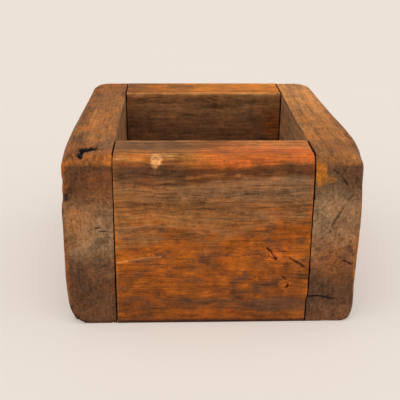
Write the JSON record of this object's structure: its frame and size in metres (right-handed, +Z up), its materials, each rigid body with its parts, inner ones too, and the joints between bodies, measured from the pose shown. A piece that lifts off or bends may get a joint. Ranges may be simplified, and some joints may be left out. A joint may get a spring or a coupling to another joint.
{
  "type": "butter mold",
  "caption": "Square wooden box mold of thick nailed boards, open at the top, with a carved print plate inside that a boss pushes up through the base.",
  "frame": {"origin": "middle of the underside of the box, at the centre of its outer width and depth", "axes": "+Z up out of the open top, -Y out of the front board, +X towards the right side block"},
  "size_m": [0.1358, 0.145, 0.082],
  "materials": {
    "side_wood": "worn, darkened",
    "board_wood": "worn, darkened",
    "base_wood": "worn, dull",
    "press_wood": "scrubbed, satin",
    "nail_iron": "rusted"
  },
  "bodies": {
    "box": {"left_side_block": "side_wood", "right_side_block": "side_wood", "front_board": "board_wood", "back_board": "board_wood", "base_board": "base_wood", "front_left_nails": "nail_iron", "front_right_nails": "nail_iron", "back_left_nails": "nail_iron", "back_right_nails": "nail_iron", "base_left_nails": "nail_iron", "base_right_nails": "nail_iron"},
    "press": {"press_plate": "press_wood", "press_boss": "press_wood"}
  },
  "joints": [
    {"name": "press_slide", "type": "slide", "parent": "box", "child": "press", "axis": [0, 0, 1], "range_m": [0, 0.075]}
  ]
}
